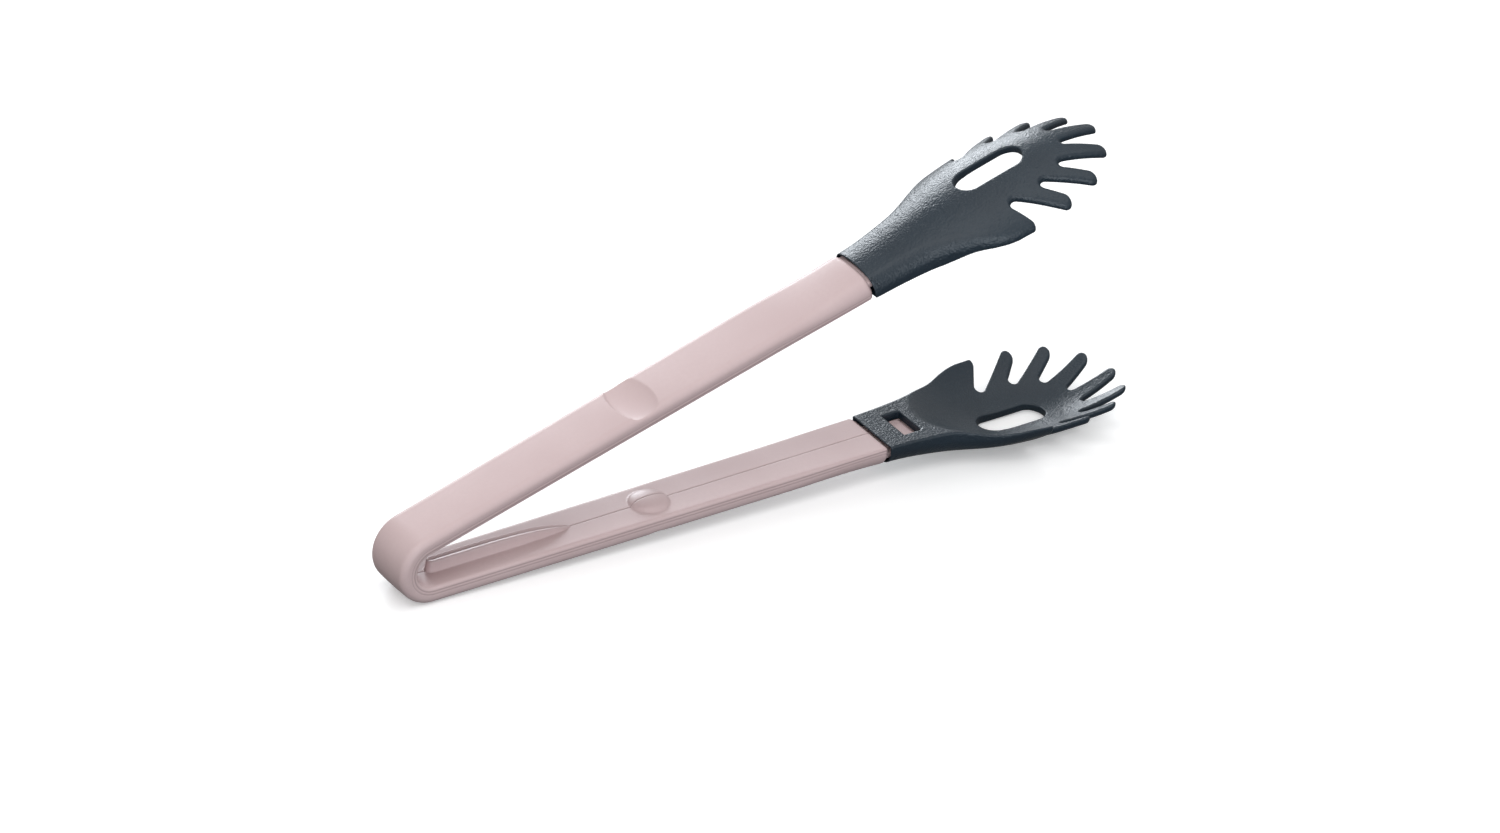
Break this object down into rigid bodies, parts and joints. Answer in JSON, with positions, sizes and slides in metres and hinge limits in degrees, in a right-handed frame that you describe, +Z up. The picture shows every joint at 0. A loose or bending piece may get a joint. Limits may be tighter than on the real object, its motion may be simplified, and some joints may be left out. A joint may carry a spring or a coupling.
{
  "type": "kitchen tongs",
  "caption": "Spring loaded kitchen tongs: a one-piece U-spring handle whose arms carry slotted, tined pasta heads that meet when squeezed.",
  "frame": {"origin": "under the middle of the tongs, on the surface they stand on", "axes": "+X along the lower arm from the spring bend to the heads, +Y across the arms, +Z up from the lower arm to the upper arm"},
  "size_m": [0.3028, 0.0532, 0.1163],
  "materials": {
    "pink_handle": "satin moulded plastic in a pale dusty pink",
    "slate_head": "satin, finely grained heat-resistant plastic in slate grey"
  },
  "bodies": {
    "lower_arm": {"lower_arm": "pink_handle", "spring_bend": "pink_handle"},
    "upper_arm": {"upper_arm": "pink_handle"},
    "lower_head": {"lower_head": "slate_head"},
    "upper_head": {"upper_head": "slate_head"},
    "lower_catch": {"lower_catch": "pink_handle"},
    "upper_catch": {"upper_catch": "pink_handle"}
  },
  "joints": [
    {"name": "squeeze", "type": "hinge", "parent": "lower_arm", "child": "upper_arm", "pos_m": [-0.14481, 0, 0.01221], "axis": [0, 1, 0], "range_deg": [0, 18.2], "stiffness_Nm_per_rad": 4, "springref_deg": -1.72, "deforming": ["spring_bend"]},
    {"name": "lower_head_release", "type": "slide", "parent": "lower_arm", "child": "lower_head", "axis": [0.9994, 0, 0.0358], "range_m": [0, 0.022], "deforming": ["lower_catch"]},
    {"name": "upper_head_release", "type": "slide", "parent": "upper_arm", "child": "upper_head", "axis": [0.9521, 0, 0.3057], "range_m": [0, 0.022], "deforming": ["upper_catch"]},
    {"name": "lower_catch_press", "type": "hinge", "parent": "lower_arm", "child": "lower_catch", "pos_m": [0.04906, 0, 0.00933], "axis": [0, 1, 0], "range_deg": [0, 7], "stiffness_Nm_per_rad": 0.2},
    {"name": "upper_catch_press", "type": "hinge", "parent": "upper_arm", "child": "upper_catch", "pos_m": [0.03656, 0, 0.08074], "axis": [0, -1, 0], "range_deg": [0, 7], "stiffness_Nm_per_rad": 0.2}
  ]
}
